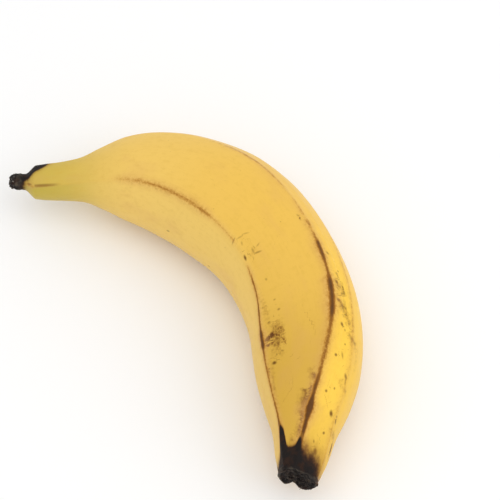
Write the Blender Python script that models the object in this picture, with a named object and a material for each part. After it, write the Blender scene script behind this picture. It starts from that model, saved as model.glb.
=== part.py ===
"""A ripe plantain lying on its side, made as the one solid that it grew as.

A section with five ridges is swept along a bow, from the withered flower scar to the torn stalk.
Metres, +Z up. The origin is the middle of the fruit's footprint, on the table it lies on.
A table of stations is a list of (distance along the bow from the flower scar, value).
Lengths in the tables are millimetres.
"""

import math

import bmesh
import bpy
import numpy as np

MM = 0.001

# Driving dimensions
BOW_LENGTH = 241.5
# Which way the bow runs, in degrees from its chord: positive swings to its outer side.
HEADING = [
    (0, 43),
    (30, 54.5),
    (50, 49),
    (70, 33),
    (100, 12.5),
    (130, -8),
    (160, -22),
    (185, -39.5),
    (210, -44),
    (BOW_LENGTH, -50),
]
# From the middle of the section out to its ridges, across the bow.
RIDGE_RADIUS = [
    (0, 2.4),
    (2, 3.1),
    (7, 3.5),
    (12, 7.6),
    (24, 8.8),
    (32, 10.0),
    (42, 14.3),
    (52, 19.0),
    (65, 22.8),
    (82, 26.0),
    (105, 28.4),
    (135, 27.4),
    (165, 27.2),
    (182, 26.7),
    (196, 25.4),
    (210, 21.6),
    (223, 16.1),
    (234, 12.8),
    (BOW_LENGTH, 9.7),
]
# The section's height as a share of its width.
HEIGHT_SHARE = [(0, 1.0), (30, 1.0), (80, 0.96), (105, 0.91), (140, 0.93), (185, 0.95), (BOW_LENGTH, 1.0)]
# 1 is a round section and 0 has flat faces between its ridges.
ROUNDNESS = [
    (0, 1.0),
    (7, 0.95),
    (14, 0.7),
    (40, 0.8),
    (80, 0.76),
    (130, 0.7),
    (180, 0.64),
    (225, 0.5),
    (BOW_LENGTH, 0.6),
]
# Where each ridge runs round the section, in degrees: 0 is the outer side of the bow and 90 is the top.
LOW_INNER_RIDGE = [(0, -140), (60, -138), (130, -131), (200, -134), (BOW_LENGTH, -142)]
LOW_OUTER_RIDGE = [(0, -75), (60, -60), (130, -48), (200, -45), (BOW_LENGTH, -52)]
SOFT_OUTER_RIDGE = [(0, -25), (60, -12), (130, 24), (180, 44), (215, 45), (BOW_LENGTH, 33)]
TOP_OUTER_RIDGE = [(0, 42), (60, 45), (125, 53), (150, 59), (195, 74), (225, 88.5), (BOW_LENGTH, 99)]
TOP_INNER_RIDGE = [
    (0, 144),
    (50, 123.5),
    (80, 125.5),
    (130, 128),
    (155, 133.5),
    (180, 140),
    (205, 136),
    (BOW_LENGTH, 131),
]
RIDGES = [LOW_INNER_RIDGE, LOW_OUTER_RIDGE, SOFT_OUTER_RIDGE, TOP_OUTER_RIDGE, TOP_INNER_RIDGE]
# Over how many degrees each ridge is rounded off.
RIDGE_SOFTNESS = [4.0, 4.0, 8.0, 3.5, 3.5]
KEEL_HEIGHT = 0.7
KEEL_WIDTH = 4.0
# The bow's height over the table. The underside is pressed flat where it would reach below the table.
BOW_HEIGHT = [
    (0, 21.0),
    (60, 21.8),
    (82, 22.2),
    (105, 22.9),
    (140, 22.5),
    (185, 22.4),
    (210, 21.5),
    (BOW_LENGTH, 20.0),
]

# The torn end of the stalk: by the degree round the section, how far its rim reaches past the bow's end.
TORN_RIM = [(0, 0.9), (70, 0.2), (130, 0.2), (180, 0.2), (226, 0.8), (251, -2.1), (277, 1.6), (310, 2.0), (360, 0.9)]
# Over this length the peel runs out into the uneven rim.
TORN_RIM_REACH = 9.0
# The torn face, ring by ring inwards: (share of the rim's width, distance past the rim, share left of its unevenness).
TORN_FACE = [
    (0.985, 0.65, 1.0),
    (0.93, 1.3, 1.0),
    (0.81, 1.0, 0.9),
    (0.66, -0.2, 0.5),
    (0.46, -1.7, 0.1),
    (0.24, -1.2, 0.0),
]
# The flower scar, ring by ring inwards, in the same terms.
SCAR_FACE = [(0.86, 0.15, 0.0), (0.66, -0.1, 0.0), (0.4, -0.7, 0.0)]

# The mesh
RING_STEP = 3.2
END_RING_STEP = 1.35
END_STRETCH = 17.0
# Where the points lie between one ridge (0) and the next (1).
FACE_SHARES = (0.0, 0.05, 0.13, 0.24, 0.37, 0.5, 0.63, 0.76, 0.87, 0.95)

PEEL_YELLOW = (0.78, 0.50, 0.10, 1.0)
PEEL_ROUGHNESS = 0.42


def smooth(stations, at):
    """The values at some distances, on a smooth curve through the stations that doesn't overshoot them."""
    x, y = np.array(stations, float).T
    at = np.clip(np.asarray(at, float), x[0], x[-1])
    step = np.diff(x)
    slope = np.diff(y) / step
    before, after = slope[:-1], slope[1:]
    turns_back = before * after <= 0
    mean_slope = 2 * before * after / np.where(turns_back, 1.0, before + after)
    tangent = np.concatenate([slope[:1], np.where(turns_back, 0.0, mean_slope), slope[-1:]])
    i = np.clip(np.searchsorted(x, at, side="right") - 1, 0, len(step) - 1)
    t = (at - x[i]) / step[i]
    from_start = (1 + 2 * t) * (1 - t) ** 2 * y[i] + t * (1 - t) ** 2 * step[i] * tangent[i]
    from_end = t * t * (3 - 2 * t) * y[i + 1] - t * t * (1 - t) * step[i] * tangent[i + 1]
    return from_start + from_end


def ring_distances():
    """How far along the bow each ring of the mesh lies: close together at the two ends."""
    distances = [0.0]
    while distances[-1] < BOW_LENGTH - END_RING_STEP:
        from_an_end = min(distances[-1], BOW_LENGTH - distances[-1])
        distances.append(distances[-1] + (END_RING_STEP if from_an_end < END_STRETCH else RING_STEP))
    return np.array(distances[:-1] + [BOW_LENGTH])


def bow_path(distances):
    """(x, y) of the bow at each distance, and the sideways direction to its outer side."""
    step = 0.5
    fine = np.arange(0.0, BOW_LENGTH + step / 2, step)
    turn = np.radians(smooth(HEADING, fine))
    x = np.concatenate([[0], np.cumsum(step / 2 * (np.cos(turn[1:]) + np.cos(turn[:-1])))])
    y = np.concatenate([[0], np.cumsum(step / 2 * (np.sin(turn[1:]) + np.sin(turn[:-1])))])
    heading = np.radians(smooth(HEADING, distances))
    middle = np.stack([np.interp(distances, fine, x), np.interp(distances, fine, y)], 1)
    outward = np.stack([-np.sin(heading), np.cos(heading)], 1)
    return middle, outward


def section(distance, turns):
    """The section's angle and radius at each turn, where turns 0 to 5 lie on its ridges in order."""
    edges = np.array([smooth(ridge, distance) for ridge in RIDGES])
    edges = np.append(edges, edges[0] + 360.0)
    face = np.floor(turns).astype(int)
    share = turns - face
    wide = edges[face + 1] - edges[face]
    angle = edges[face] + share * wide
    half = np.radians(wide / 2)
    from_ridge = np.minimum(share, 1 - share) * 2 * half
    nearest = np.where(share < 0.5, face, face + 1) % len(RIDGES)
    rounded = np.hypot(from_ridge, np.radians(RIDGE_SOFTNESS)[nearest])
    roundness = smooth(ROUNDNESS, distance)
    flat_face = np.cos(half) / np.cos(half - rounded)
    radius = smooth(RIDGE_RADIUS, distance) * (roundness + (1 - roundness) * flat_face)
    keel = KEEL_HEIGHT * (1 - roundness) * np.exp(-((from_ridge / np.radians(KEEL_WIDTH)) ** 2))
    return np.radians(angle), radius + keel


def torn_rim(turns):
    """How far the torn rim reaches past the bow's end at each turn."""
    angle = np.degrees(section(BOW_LENGTH, turns)[0]) % 360
    return smooth(TORN_RIM, angle)


def rings_of_peel(turns):
    """The rings of points of the peel, in millimetres, from the flower scar to the stalk's rim."""
    distances = ring_distances()
    rim = torn_rim(turns)
    rings = []
    for distance, middle, outward in zip(distances, *bow_path(distances)):
        angle, radius = section(distance, turns)
        across = radius * np.cos(angle)
        height = smooth(BOW_HEIGHT, distance) + radius * np.sin(angle) * smooth(HEIGHT_SHARE, distance)
        into_rim = max(0.0, 1 - (BOW_LENGTH - distance) / TORN_RIM_REACH)
        ahead = np.array([outward[1], -outward[0]])
        level = middle + np.outer(across, outward) + np.outer(rim * into_rim, ahead)
        rings.append(np.column_stack([level, height]))
    return rings


def end_rings(ring, outwards, face, unevenness):
    """Rings that close an end of the fruit, drawn in from its last ring. outwards points out of that end."""
    middle = ring.mean(axis=0)
    rings = []
    for share, past_rim, uneven_share in face:
        past = past_rim - (1 - uneven_share) * unevenness
        rings.append(middle + (ring - middle) * share + np.outer(past, outwards))
    return rings


def direction(degrees):
    return np.array([math.cos(math.radians(degrees)), math.sin(math.radians(degrees)), 0.0])


def on_the_table(points):
    """Presses the underside flat where it bears on the table, and puts the footprint's middle at the origin."""
    points[:, 2] = np.maximum(points[:, 2], 0.0)
    low, high = points.min(axis=0), points.max(axis=0)
    points[:, :2] -= (low[:2] + high[:2]) / 2
    return points * MM


def plantain_mesh():
    """The whole skin as one closed mesh of rings, with a point at the middle of each end."""
    turns = np.array([face + share for face in range(len(RIDGES)) for share in FACE_SHARES])
    peel = rings_of_peel(turns)
    scar = end_rings(peel[0], -direction(HEADING[0][1]), SCAR_FACE, np.zeros(len(turns)))
    torn = end_rings(peel[-1], direction(HEADING[-1][1]), TORN_FACE, torn_rim(turns))
    rings = scar[::-1] + peel + torn
    tips = [rings[0].mean(axis=0), rings[-1].mean(axis=0)]
    points = on_the_table(np.vstack(rings + tips))

    mesh = bmesh.new()
    verts = [mesh.verts.new(point) for point in points]
    around = len(turns)
    loops = [verts[i * around : (i + 1) * around] for i in range(len(rings))]
    for near, far in zip(loops, loops[1:]):
        for j in range(around):
            k = (j + 1) % around
            mesh.faces.new((near[j], near[k], far[k], far[j]))
    for tip, loop in ((verts[-2], loops[0]), (verts[-1], loops[-1])):
        for j in range(around):
            mesh.faces.new((tip, loop[j], loop[(j + 1) % around]))
    bmesh.ops.recalc_face_normals(mesh, faces=mesh.faces)
    data = bpy.data.meshes.new("plantain")
    mesh.to_mesh(data)
    mesh.free()
    return data


def peel_material():
    material = bpy.data.materials.new("peel")
    material.use_nodes = True
    shader = material.node_tree.nodes["Principled BSDF"]
    shader.inputs["Base Color"].default_value = PEEL_YELLOW
    shader.inputs["Roughness"].default_value = PEEL_ROUGHNESS
    shader.inputs["Metallic"].default_value = 0.0
    return material


def main():
    for leftover in list(bpy.data.objects):
        bpy.data.objects.remove(leftover)
    mesh = plantain_mesh()
    mesh.materials.append(peel_material())
    mesh.shade_smooth()
    plantain = bpy.data.objects.new("plantain", mesh)
    bpy.context.scene.collection.objects.link(plantain)


main()
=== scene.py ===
# %% [markdown]
# # A ripe plantain
# A plantain grows as one piece: a starchy fruit in a thick, waxy peel with blunt ridges, a stub of stalk
# at one end and the withered remains of its flower at the other. This lesson dresses the solid model of
# one with a finer skin. The shape follows a rule, a section with five ridges that is swept along a bow,
# so Geometry Nodes grow it. The colours of ripening are painted by shader nodes that know how far along
# the fruit, and how far round it, each point of the peel lies.

# %% The frame that the fruit is built in
import math

import bpy
import numpy as np
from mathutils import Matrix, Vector


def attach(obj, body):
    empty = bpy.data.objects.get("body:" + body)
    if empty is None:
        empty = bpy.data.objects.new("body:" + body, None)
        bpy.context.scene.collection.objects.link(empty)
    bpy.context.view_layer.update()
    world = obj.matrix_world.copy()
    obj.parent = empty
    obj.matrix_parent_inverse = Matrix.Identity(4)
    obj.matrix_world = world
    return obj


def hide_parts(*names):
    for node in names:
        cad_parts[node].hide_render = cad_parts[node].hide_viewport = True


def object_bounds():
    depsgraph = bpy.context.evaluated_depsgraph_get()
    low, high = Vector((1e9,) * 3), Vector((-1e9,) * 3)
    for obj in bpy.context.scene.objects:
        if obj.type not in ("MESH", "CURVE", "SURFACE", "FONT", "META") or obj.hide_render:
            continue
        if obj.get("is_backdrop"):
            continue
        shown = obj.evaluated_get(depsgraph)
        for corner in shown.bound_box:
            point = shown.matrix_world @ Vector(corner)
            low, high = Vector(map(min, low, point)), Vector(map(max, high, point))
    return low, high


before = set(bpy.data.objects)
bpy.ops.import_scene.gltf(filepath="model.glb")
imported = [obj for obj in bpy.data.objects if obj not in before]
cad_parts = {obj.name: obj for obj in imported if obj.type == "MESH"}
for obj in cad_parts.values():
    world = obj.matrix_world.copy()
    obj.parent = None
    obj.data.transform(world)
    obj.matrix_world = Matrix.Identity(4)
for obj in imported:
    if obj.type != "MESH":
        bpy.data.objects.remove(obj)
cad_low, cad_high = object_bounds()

MM = 0.001
print("box of the solid, in mm:", [round((b - a) / MM, 1) for a, b in zip(cad_low, cad_high)])

# %% [markdown]
# ## Writing node trees as formulas
# A node tree can be wired by hand in the editor, or by a script that makes nodes and links one at a
# time, which soon hides the idea behind the bookkeeping. Here a small class stands for a node's output.
# A sum or product of two of them adds a Math node, so a rule can be read as the formula that it is.
# The same helpers serve for Geometry Nodes and for materials, because both know the same Math nodes.


# %% Wires, and the nodes that arithmetic on them adds
class Wire:
    """The output of a node. Arithmetic on wires adds Math nodes to their tree."""

    def __init__(self, socket):
        self.socket = socket
        self.tree = socket.id_data

    __add__ = __radd__ = lambda self, other: calculate("ADD", self, other)
    __mul__ = __rmul__ = lambda self, other: calculate("MULTIPLY", self, other)
    __sub__ = lambda self, other: calculate("SUBTRACT", self, other)
    __rsub__ = lambda self, other: calculate("SUBTRACT", other, self)
    __truediv__ = lambda self, other: calculate("DIVIDE", self, other)
    __rtruediv__ = lambda self, other: calculate("DIVIDE", other, self)
    __neg__ = lambda self: calculate("MULTIPLY", self, -1.0)


def tree_of(*values):
    """The tree that the wires among these values belong to."""
    return next(value.tree for value in values if isinstance(value, Wire))


def is_vector(value):
    return value.socket.type in ("VECTOR", "RGBA") if isinstance(value, Wire) else isinstance(value, tuple)


def feed(slot, value):
    """Gives an input its value, or the wire that leads to it."""
    if isinstance(value, Wire):
        value.tree.links.new(value.socket, slot)
    elif value is not None:
        slot.default_value = value


def add_node(tree, kind, *values, output=0, **settings):
    """Adds a node, gives its inputs these values or wires in order, and returns one of its outputs."""
    made = tree.nodes.new(kind)
    for setting, value in settings.items():
        setattr(made, setting, value)
    for slot, value in zip([slot for slot in made.inputs if slot.enabled], values):
        feed(slot, value)
    outputs = [slot for slot in made.outputs if slot.enabled]
    return Wire(outputs[output] if isinstance(output, int) else made.outputs[output])


def calculate(operation, *values):
    """A Math node, or a Vector Math node where one of the values is a vector."""
    tree = tree_of(*values)
    vectors = [is_vector(value) for value in values]
    if operation in ("MULTIPLY", "DIVIDE") and vectors == [True, False]:
        by = values[1] if operation == "MULTIPLY" else calculate("DIVIDE", 1.0, values[1])
        return add_node(tree, "ShaderNodeVectorMath", values[0], by, operation="SCALE")
    kind = "ShaderNodeVectorMath" if any(vectors) else "ShaderNodeMath"
    return add_node(tree, kind, *values, operation=operation)


# %% The few functions that the formulas need
def math_function(operation):
    """A function that adds one kind of Math node."""
    return lambda *values: calculate(operation, *values)


sine, cosine, whole, root = [math_function(kind) for kind in ("SINE", "COSINE", "FLOOR", "SQRT")]
least, most, length = [math_function(kind) for kind in ("MINIMUM", "MAXIMUM", "LENGTH")]
# below gives 1 where its first value is less than its second, and 0 elsewhere.
below = math_function("LESS_THAN")


def falling(x):
    """1 where x is 0, falling to 0 on both sides as a bell does."""
    return calculate("EXPONENT", -(x * x))


def vector(x, y, z):
    return add_node(tree_of(x, y, z), "ShaderNodeCombineXYZ", x, y, z)


def parts(wire):
    """The three numbers of a vector."""
    return [add_node(wire.tree, "ShaderNodeSeparateXYZ", wire, output=i) for i in range(3)]


def ease(x, low, high):
    """0 below low, 1 above high, and a smooth slope between. high may be the lower of the two."""
    return add_node(x.tree, "ShaderNodeMapRange", x, low, high, 0.0, 1.0, interpolation_type="SMOOTHSTEP")


def blend_to(a, b, share):
    """a where share is 0 and b where it is 1, for two numbers."""
    return a + (b - a) * share


def noise(place, size, detail, rough, seed, output=0):
    """Cloudy values about 0.5, in blobs of about this size in the units of place. The seed is fixed."""
    values = (place, seed, 1 / size, detail, rough)
    return add_node(place.tree, "ShaderNodeTexNoise", *values, output=output, noise_dimensions="4D")


# %% [markdown]
# ## The sizes of the fruit
# The sizes are the ones that the solid was built from, so that the skin and the solid agree without any
# fitting. Only the torn rim and the torn face are finer here, and the rim is more ragged. Each size that
# changes along the fruit is a short list of stations: how far along the bow, from the flower end, and
# the value there. A smooth curve that doesn't overshoot runs through them.

# %% The bow and the section
BOW_LENGTH = 241.5
HEADING = [
    (0, 43), (30, 54.5), (50, 49), (70, 33), (100, 12.5), (130, -8), (160, -22), (185, -39.5), (210, -44),
    (BOW_LENGTH, -50),
]
RIDGE_RADIUS = [
    (0, 2.4), (2, 3.1), (7, 3.5), (12, 7.6), (24, 8.8), (32, 10), (42, 14.3), (52, 19), (65, 22.8), (82, 26),
    (105, 28.4), (135, 27.4), (165, 27.2), (182, 26.7), (196, 25.4), (210, 21.6), (223, 16.1), (234, 12.8),
    (BOW_LENGTH, 9.7),
]
HEIGHT_SHARE = [(0, 1), (30, 1), (80, 0.96), (105, 0.91), (140, 0.93), (185, 0.95), (BOW_LENGTH, 1)]
ROUNDNESS = [
    (0, 1), (7, 0.95), (14, 0.7), (40, 0.8), (80, 0.76), (130, 0.7), (180, 0.64), (225, 0.5), (BOW_LENGTH, 0.6),
]
BOW_HEIGHT = [
    (0, 21), (60, 21.8), (82, 22.2), (105, 22.9), (140, 22.5), (185, 22.4), (210, 21.5), (BOW_LENGTH, 20),
]

# %% The five ridges, by the degree round the section: 0 is the outer side of the bow and 90 the top
LOW_INNER_RIDGE = [(0, -140), (60, -138), (130, -131), (200, -134), (BOW_LENGTH, -142)]
LOW_OUTER_RIDGE = [(0, -75), (60, -60), (130, -48), (200, -45), (BOW_LENGTH, -52)]
SOFT_OUTER_RIDGE = [(0, -25), (60, -12), (130, 24), (180, 44), (215, 45), (BOW_LENGTH, 33)]
TOP_OUTER_RIDGE = [(0, 42), (60, 45), (125, 53), (150, 59), (195, 74), (225, 88.5), (BOW_LENGTH, 99)]
TOP_INNER_RIDGE = [
    (0, 144), (50, 123.5), (80, 125.5), (130, 128), (155, 133.5), (180, 140), (205, 136), (BOW_LENGTH, 131),
]
RIDGES = [LOW_INNER_RIDGE, LOW_OUTER_RIDGE, SOFT_OUTER_RIDGE, TOP_OUTER_RIDGE, TOP_INNER_RIDGE]
RIDGE_SOFTNESS = [4.0, 4.0, 8.0, 3.5, 3.5]
KEEL_HEIGHT = 0.7
KEEL_WIDTH = 4.0
RIDGE_COUNT = len(RIDGES)
TURN = 2 * math.pi
print(RIDGE_COUNT, "ridges run along the fruit")

# %% The two ends
# By the degree round the section, how far the stalk's torn rim reaches past the end of the bow.
TORN_RIM = [
    (0, 1.5), (25, 2.5), (50, 2.1), (75, 0.6), (95, 0), (130, 0.2), (180, 0), (215, -0.2), (232, 0.1), (243, 0),
    (250, -0.9), (256, -2.1), (264, -1), (277, 0.9), (310, 1.1), (335, 0.9), (360, 1.5),
]
TORN_RIM_REACH = 9.0
# From the rim to the middle of the torn face: share of the rim's width, distance past it, unevenness left.
TORN_FACE = [
    (1, 0, 1), (0.985, 0.65, 1), (0.93, 1.3, 1), (0.81, 1.2, 0.95), (0.66, 0.7, 0.8), (0.46, 0.1, 0.5),
    (0.24, 0, 0.2), (0, 0, 0),
]
SCAR_FACE = [(1, 0, 0), (0.86, 0.15, 0), (0.66, -0.1, 0), (0.4, -0.7, 0), (0, -0.7, 0)]


# %% A smooth curve through stations
def smooth(stations, at):
    """The values at some distances, on a smooth curve through the stations that doesn't overshoot them."""
    x, y = np.array(stations, float).T
    at = np.clip(at, x[0], x[-1])
    step = np.diff(x)
    slope = np.diff(y) / step
    before, after = slope[:-1], slope[1:]
    turns_back = before * after <= 0
    mean_slope = 2 * before * after / np.where(turns_back, 1.0, before + after)
    tangent = np.concatenate([slope[:1], np.where(turns_back, 0.0, mean_slope), slope[-1:]])
    i = np.clip(np.searchsorted(x, at, side="right") - 1, 0, len(step) - 1)
    t = (at - x[i]) / step[i]
    from_start = (1 + 2 * t) * (1 - t) ** 2 * y[i] + t * (1 - t) ** 2 * step[i] * tangent[i]
    from_end = t * t * (3 - 2 * t) * y[i + 1] - t * t * (1 - t) * step[i] * tangent[i + 1]
    return from_start + from_end


def curve(wire, stations, finest=49):
    """The same smooth curve as a Float Curve node, for the wire's value."""
    x = np.union1d(np.linspace(stations[0][0], stations[-1][0], finest), [at for at, _ in stations])
    y = smooth(stations, x)
    low, span = y.min(), max(np.ptp(y), 1e-6)
    share = (wire - float(x[0])) / float(x[-1] - x[0])
    spots = list(zip((x - x[0]) / (x[-1] - x[0]), (y - low) / span))
    made = wire.tree.nodes.new("ShaderNodeFloatCurve")
    points = made.mapping.curves[0].points
    points[0].location, points[1].location = spots[0], spots[-1]
    for spot in spots[1:-1]:
        points.new(*spot)
    for point in points:
        point.handle_type = "VECTOR"
    made.mapping.update()
    feed(made.inputs["Value"], share)
    return Wire(made.outputs[0]) * float(span) + float(low)


print("the bow is", BOW_LENGTH, "mm long and its ridges stand", max(r for _, r in RIDGE_RADIUS), "mm out at most")

# %% [markdown]
# ## A cage of ridge lines
# The bow and its ridges change slowly, so they are laid down first as a light cage: at each station along
# the fruit, one point for each ridge, carrying the sizes that hold there as attributes. The node tree
# then spreads the skin between those lines. The cage goes on over both ends: past the last station the
# section shrinks to a point, over the torn face of the stalk and over the flower scar.
#
# How brown each ridge has gone is a fact about the ridge too, so it is kept in the cage and not painted
# later: handling bruises the ridges first, and the bruise darkens as the fruit ripens.

# %% How far each ridge has browned: (distance along, strength), and half the width of the brown line
HIDDEN_RIDGE_BROWN = [(0, 0), (40, 0.1), (80, 0.35), (130, 0.5), (180, 0.55), (205, 0.3), (BOW_LENGTH, 0.5)]
SOFT_RIDGE_BROWN = [(0, 0), (120, 0), (150, 0.3), (185, 0.36), (205, 0.2), (BOW_LENGTH, 0.3)]
TOP_OUTER_BROWN = [
    (0, 1), (13, 0.8), (21, 0), (84, 0), (94, 0.42), (116, 0.4), (122, 0.2), (131, 0.42), (134, 0.25),
    (137, 0.6), (140, 0.4), (143, 0.62), (145.5, 0.6), (147, 1.05), (152, 1), (157, 0.72), (162, 0.8),
    (165, 1.1), (177, 1.1), (182, 0.74), (188, 0.66), (195, 0.7), (200, 0.68), (205, 0.7), (207, 0.95),
    (214, 0.9), (219.5, 1.4), (226, 1.25), (228.5, 1.05), (BOW_LENGTH, 1.1),
]
TOP_INNER_BROWN = [
    (0, 0), (8, 0.36), (11, 0.3), (13, 0.2), (20, 0.12), (25, 0), (44, 0), (52, 0.3), (60, 0.4), (78, 0.52),
    (92, 0.48), (104, 0.56), (110, 0.42), (118, 0.32), (127, 0.32), (130, 0.06), (141, 0.08), (145, 0.52),
    (149, 0.58), (153, 0.8), (158, 0.7), (170, 0.84), (180, 0.9), (184, 1.15), (190, 1.15), (193, 0.8),
    (200, 0.66), (212, 0.66), (222, 0.78), (226, 1), (BOW_LENGTH, 1),
]
RIDGE_BROWN = [HIDDEN_RIDGE_BROWN, HIDDEN_RIDGE_BROWN, SOFT_RIDGE_BROWN, TOP_OUTER_BROWN, TOP_INNER_BROWN]
HIDDEN_LINE_WIDTH = [(0, 0.5), (BOW_LENGTH, 0.8)]
SOFT_LINE_WIDTH = [(0, 0.6), (BOW_LENGTH, 0.6)]
TOP_OUTER_WIDTH = [
    (0, 1.4), (12, 0.9), (18, 0.4), (90, 0.6), (125, 0.6), (137, 1), (146, 1.1), (150, 1.1), (160, 0.9),
    (165, 1.3), (173, 1.35), (181, 1.15), (190, 1.2), (197, 1.15), (203, 0.95), (207, 0.95), (214, 0.8),
    (219.5, 1.3), (224, 0.85), (229, 0.7), (233, 0.9), (BOW_LENGTH, 1),
]
TOP_INNER_WIDTH = [
    (0, 0.5), (11, 0.6), (13, 0.35), (24, 0.35), (52, 0.7), (60, 0.95), (92, 0.95), (106, 0.85), (110, 0.5),
    (139, 0.4), (153, 0.5), (160, 0.4), (180, 0.55), (184, 0.95), (190, 1), (194, 0.6), (212, 0.5),
    (BOW_LENGTH, 0.65),
]
RIDGE_LINE_WIDTH = [HIDDEN_LINE_WIDTH, HIDDEN_LINE_WIDTH, SOFT_LINE_WIDTH, TOP_OUTER_WIDTH, TOP_INNER_WIDTH]

# %% Where the stations lie: close together towards both ends
BODY_STEP = 0.6
END_STEP = 0.36
FLOWER_STRETCH = 14.0
STALK_STRETCH = 22.0
SCAR_RINGS = 10
TORN_FACE_RINGS = 36


def body_stations():
    flower = np.arange(0.0, FLOWER_STRETCH, END_STEP)
    middle = np.arange(FLOWER_STRETCH, BOW_LENGTH - STALK_STRETCH, BODY_STEP)
    stalk = np.linspace(BOW_LENGTH - STALK_STRETCH, BOW_LENGTH, round(STALK_STRETCH / END_STEP) + 1)
    return np.concatenate([flower, middle, stalk])


def end_stations(face, rings, rim_width):
    """Share of the rim's width, distance past the rim, unevenness, and path length, from the rim inwards."""
    share, past, uneven = np.array(face, float).T
    path = np.concatenate([[0], np.cumsum(np.hypot(np.diff(share) * rim_width, np.diff(past)))])
    at = np.linspace(0, path[-1], rings + 1)[1:]
    return [smooth(list(zip(path, values)), at) for values in (share, past, uneven)] + [at]


# %% Lay out the bow, then the two closed ends
def bow_path(distances):
    """(x, y) of the bow at each distance, and its heading in radians."""
    step = 0.5
    fine = np.arange(0.0, BOW_LENGTH + step / 2, step)
    heading = np.radians(smooth(HEADING, fine))
    middle = []
    for way in (np.cos(heading), np.sin(heading)):
        gone = np.concatenate([[0], np.cumsum(step / 2 * (way[1:] + way[:-1]))])
        middle.append(np.interp(distances, fine, gone))
    return np.stack(middle, 1), np.radians(smooth(HEADING, distances))


body = body_stations()
scar_share, scar_past, _, scar_path = end_stations(SCAR_FACE, SCAR_RINGS, RIDGE_RADIUS[0][1])
torn_share, torn_past, torn_uneven, torn_path = end_stations(TORN_FACE, TORN_FACE_RINGS, RIDGE_RADIUS[-1][1])
# How far along the bow each ring belongs, and how far along the skin it lies: longer, over both ends.
station = np.concatenate([np.zeros(SCAR_RINGS), body, np.full(TORN_FACE_RINGS, BOW_LENGTH)])
along = np.concatenate([-scar_path[::-1], body, BOW_LENGTH + torn_path])
shrink = np.concatenate([scar_share[::-1], np.ones(len(body)), torn_share])
past_end = np.concatenate([-scar_past[::-1], np.zeros(len(body)), torn_past])
into_rim = np.clip(1 - (BOW_LENGTH - body) / TORN_RIM_REACH, 0, 1)
rim_share = np.concatenate([np.zeros(SCAR_RINGS), into_rim, torn_uneven])
print(len(station), "rings of skin, from", round(along[0], 1), "to", round(along[-1], 1), "mm along")

# %% Make the cage
# Each ring has a point for every ridge, and repeats one before the first and two after the last.
RING_POINTS = RIDGE_COUNT + 3


def ridge_values(tables, whole_turn=0.0):
    """A value for each point of each ring, with the repeated ones a whole turn on or back."""
    turns, ridges = np.divmod(np.arange(RING_POINTS) - 1, RIDGE_COUNT)
    rows = [smooth(tables[ridge], station) + whole_turn * turn for turn, ridge in zip(turns, ridges)]
    return np.stack(rows, 1).ravel()


def ring_values(values):
    """The value of each ring, for all of its points."""
    return np.repeat(values, RING_POINTS, axis=0).ravel()


middle, heading = bow_path(station)
level = np.zeros(len(station))
ahead = np.stack([np.cos(heading), np.sin(heading), level], 1)
outward = np.stack([-np.sin(heading), np.cos(heading), level], 1)
centre = np.column_stack([middle, smooth(BOW_HEIGHT, station)]) + past_end[:, None] * ahead
softness = [[(0, value), (BOW_LENGTH, value)] for value in RIDGE_SOFTNESS]
cage_numbers = {
    "ridge angle": np.radians(ridge_values(RIDGES, 360.0)),
    "ridge softness": np.radians(ridge_values(softness)),
    "ridge brown": ridge_values(RIDGE_BROWN),
    "ridge line width": ridge_values(RIDGE_LINE_WIDTH),
    "radius": ring_values(smooth(RIDGE_RADIUS, station)),
    "height share": ring_values(smooth(HEIGHT_SHARE, station)),
    "roundness": ring_values(smooth(ROUNDNESS, station)),
    "along": ring_values(along),
    "shrink": ring_values(shrink),
    "rim share": ring_values(rim_share),
}


def make_cage():
    """The cage as a mesh without faces, in millimetres. Its points carry the sizes as attributes."""
    cage = bpy.data.meshes.new("ridge cage")
    cage.vertices.add(len(station) * RING_POINTS)
    cage.vertices.foreach_set("co", ring_values(centre))
    for name, values in cage_numbers.items():
        cage.attributes.new(name, "FLOAT", "POINT").data.foreach_set("value", values)
    for name, values in (("outward", outward), ("ahead", ahead)):
        cage.attributes.new(name, "FLOAT_VECTOR", "POINT").data.foreach_set("vector", ring_values(values))
    return cage


print(len(station) * RING_POINTS, "points in the cage, with", len(cage_numbers) + 2, "attributes each")

# %% [markdown]
# ## The marks of handling
# A real fruit has marks of its own: a fleck here, a scratch there, a bruise where the ridge was pressed
# and a cloud of stain round it. Each is given by where it lies, how far along the bow and how far round
# in turns, by its length and width, and by its slant to the bow. They could each be a group of nodes in
# the material, but dozens of them overflow what a shader can hold. So they are points of a small mesh,
# on the fruit as if it were straightened, and each point of the skin will look up the nearest mark.


# %% Where a mark lies on the straightened fruit
def on_straight_fruit(along, turn):
    """A place on the straightened fruit from the distance along and the turn round it."""
    face = int(turn)
    edges = [float(smooth(ridge, along)) for ridge in RIDGES]
    edges.append(edges[0] + 360)
    angle = math.radians(edges[face] + (turn - face) * (edges[face + 1] - edges[face]))
    radius = float(smooth(RIDGE_RADIUS, along))
    return (along, radius * math.cos(angle), radius * math.sin(angle))


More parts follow.
